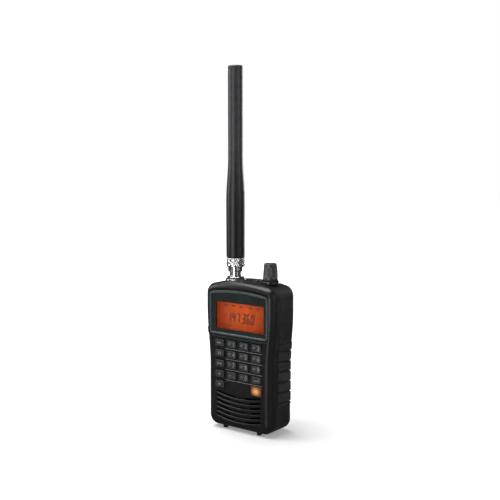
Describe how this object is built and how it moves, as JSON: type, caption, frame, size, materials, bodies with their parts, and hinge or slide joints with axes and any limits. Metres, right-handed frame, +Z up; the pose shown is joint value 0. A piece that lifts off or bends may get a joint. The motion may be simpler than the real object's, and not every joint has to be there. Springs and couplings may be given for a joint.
{
  "type": "handheld radio scanner",
  "caption": "Handheld radio scanner: rounded case with amber display, rubber keypad and speaker slots, volume and squelch knobs, and a whip antenna on a bayonet socket.",
  "frame": {"origin": "middle of the width and depth of the whole object, at the level that its feet stand on", "axes": "+Z up along the antenna; the display and keys face -Y; +X is to the right of someone facing them"},
  "size_m": [0.067, 0.0414, 0.2871],
  "materials": {
    "case_plastic": "fine-grained matte black moulding",
    "grip_rubber": "matte black rubber",
    "frame_plastic": "satin grey",
    "clear_lens": "clear, with a dark printed border",
    "amber_lcd": "amber backlit display",
    "opal_plastic": "opal white",
    "mat_rubber": "black",
    "key_rubber": null,
    "orange_rubber": "satin orange",
    "knob_plastic": "satin dark grey",
    "antenna_rubber": "satin black",
    "chrome": "bright plating",
    "steel": "zinc or nickel plated",
    "copper_wire": "bare spring wire",
    "circuit_board": "green solder mask",
    "white_plastic": "natural white",
    "speaker_paper": "black pressed paper",
    "battery_skin": "plain coloured sleeve"
  },
  "bodies": {
    "case": {"front_cover": "case_plastic", "rear_cover": "case_plastic", "grip_right": "grip_rubber", "grip_left": "grip_rubber", "display_frame": "frame_plastic", "display_lens": "clear_lens", "lcd_glass": "amber_lcd", "lcd_backlight": "opal_plastic", "keypad_mat": "mat_rubber", "control_pot": "steel", "antenna_jack": "chrome", "jack_insulator": "white_plastic", "jack_nut": "steel", "control_board": "circuit_board", "radio_board": "circuit_board", "radio_shield": "steel", "speaker_frame": "steel", "speaker_cone": "speaker_paper", "earphone_jack": "knob_plastic", "power_jack": "knob_plastic", "battery_left": "battery_skin", "battery_right": "battery_skin", "contact_bridge": "steel", "battery_spring": "steel", "case_screw_1": "steel", "case_screw_2": "steel", "case_screw_3": "steel", "case_screw_4": "steel", "clip_bracket": "steel", "clip_pin": "steel", "clip_screw_left": "steel", "clip_screw_right": "steel"},
    "key_scan": {"key_scan": "key_rubber"},
    "key_hold": {"key_hold": "key_rubber"},
    "key_search": {"key_search": "key_rubber"},
    "key_up": {"key_up": "key_rubber"},
    "key_down": {"key_down": "key_rubber"},
    "key_1": {"key_1": "key_rubber"},
    "key_2": {"key_2": "key_rubber"},
    "key_3": {"key_3": "key_rubber"},
    "key_4": {"key_4": "key_rubber"},
    "key_5": {"key_5": "key_rubber"},
    "key_6": {"key_6": "key_rubber"},
    "key_7": {"key_7": "key_rubber"},
    "key_8": {"key_8": "key_rubber"},
    "key_9": {"key_9": "key_rubber"},
    "key_dot": {"key_dot": "key_rubber"},
    "key_0": {"key_0": "key_rubber"},
    "key_enter": {"key_enter": "key_rubber"},
    "key_function": {"key_function": "orange_rubber"},
    "volume": {"volume_knob": "knob_plastic", "volume_shaft": "steel"},
    "squelch": {"squelch_ring": "knob_plastic"},
    "plug_washer": {"antenna_washer": "steel"},
    "collar": {"antenna_collar": "chrome"},
    "antenna": {"antenna_plug": "chrome", "antenna_sleeve": "antenna_rubber", "antenna_coil": "copper_wire"},
    "door": {"battery_door": "case_plastic"},
    "clip": {"clip_lever": "case_plastic"}
  },
  "joints": [
    {"name": "key_scan_press", "type": "slide", "parent": "case", "child": "key_scan", "axis": [0, 1, 0], "range_m": [0, 0.0009], "stiffness_N_per_m": 400},
    {"name": "key_hold_press", "type": "slide", "parent": "case", "child": "key_hold", "axis": [0, 1, 0], "range_m": [0, 0.0009], "stiffness_N_per_m": 400},
    {"name": "key_search_press", "type": "slide", "parent": "case", "child": "key_search", "axis": [0, 1, 0], "range_m": [0, 0.0009], "stiffness_N_per_m": 400},
    {"name": "key_up_press", "type": "slide", "parent": "case", "child": "key_up", "axis": [0, 1, 0], "range_m": [0, 0.0009], "stiffness_N_per_m": 400},
    {"name": "key_down_press", "type": "slide", "parent": "case", "child": "key_down", "axis": [0, 1, 0], "range_m": [0, 0.0009], "stiffness_N_per_m": 400},
    {"name": "key_1_press", "type": "slide", "parent": "case", "child": "key_1", "axis": [0, 1, 0], "range_m": [0, 0.0009], "stiffness_N_per_m": 400},
    {"name": "key_2_press", "type": "slide", "parent": "case", "child": "key_2", "axis": [0, 1, 0], "range_m": [0, 0.0009], "stiffness_N_per_m": 400},
    {"name": "key_3_press", "type": "slide", "parent": "case", "child": "key_3", "axis": [0, 1, 0], "range_m": [0, 0.0009], "stiffness_N_per_m": 400},
    {"name": "key_4_press", "type": "slide", "parent": "case", "child": "key_4", "axis": [0, 1, 0], "range_m": [0, 0.0009], "stiffness_N_per_m": 400},
    {"name": "key_5_press", "type": "slide", "parent": "case", "child": "key_5", "axis": [0, 1, 0], "range_m": [0, 0.0009], "stiffness_N_per_m": 400},
    {"name": "key_6_press", "type": "slide", "parent": "case", "child": "key_6", "axis": [0, 1, 0], "range_m": [0, 0.0009], "stiffness_N_per_m": 400},
    {"name": "key_7_press", "type": "slide", "parent": "case", "child": "key_7", "axis": [0, 1, 0], "range_m": [0, 0.0009], "stiffness_N_per_m": 400},
    {"name": "key_8_press", "type": "slide", "parent": "case", "child": "key_8", "axis": [0, 1, 0], "range_m": [0, 0.0009], "stiffness_N_per_m": 400},
    {"name": "key_9_press", "type": "slide", "parent": "case", "child": "key_9", "axis": [0, 1, 0], "range_m": [0, 0.0009], "stiffness_N_per_m": 400},
    {"name": "key_dot_press", "type": "slide", "parent": "case", "child": "key_dot", "axis": [0, 1, 0], "range_m": [0, 0.0009], "stiffness_N_per_m": 400},
    {"name": "key_0_press", "type": "slide", "parent": "case", "child": "key_0", "axis": [0, 1, 0], "range_m": [0, 0.0009], "stiffness_N_per_m": 400},
    {"name": "key_enter_press", "type": "slide", "parent": "case", "child": "key_enter", "axis": [0, 1, 0], "range_m": [0, 0.0009], "stiffness_N_per_m": 400},
    {"name": "key_function_press", "type": "slide", "parent": "case", "child": "key_function", "axis": [0, 1, 0], "range_m": [0, 0.0009], "stiffness_N_per_m": 400},
    {"name": "volume_turn", "type": "hinge", "parent": "case", "child": "volume", "pos_m": [0.0188, -0.0027, 0.125], "axis": [0, 0, 1], "range_deg": [-150, 150]},
    {"name": "squelch_turn", "type": "hinge", "parent": "case", "child": "squelch", "pos_m": [0.0188, -0.0027, 0.119], "axis": [0, 0, 1], "range_deg": [-150, 150]},
    {"name": "antenna_lift", "type": "slide", "parent": "case", "child": "plug_washer", "axis": [0, 0, 1], "range_m": [0, 0.0016]},
    {"name": "collar_turn", "type": "hinge", "parent": "plug_washer", "child": "collar", "pos_m": [-0.0154, -0.0027, 0.13], "axis": [0, 0, 1], "range_deg": [0, 75]},
    {"name": "antenna_swivel", "type": "hinge", "parent": "plug_washer", "child": "antenna", "pos_m": [-0.0154, -0.0027, 0.135], "axis": [0, 0, 1], "continuous": true},
    {"name": "door_slide", "type": "slide", "parent": "case", "child": "door", "axis": [0, 0, -1], "range_m": [0, 0.006]},
    {"name": "clip_open", "type": "hinge", "parent": "case", "child": "clip", "pos_m": [0, 0.0156, 0.104], "axis": [1, 0, 0], "range_deg": [0, 14], "stiffness_Nm_per_rad": 0.3, "springref_deg": -17.19}
  ],
  "couplings": [
    {"joint": "collar_turn", "follows": "antenna_lift", "rad_per_m": 818.12}
  ]
}
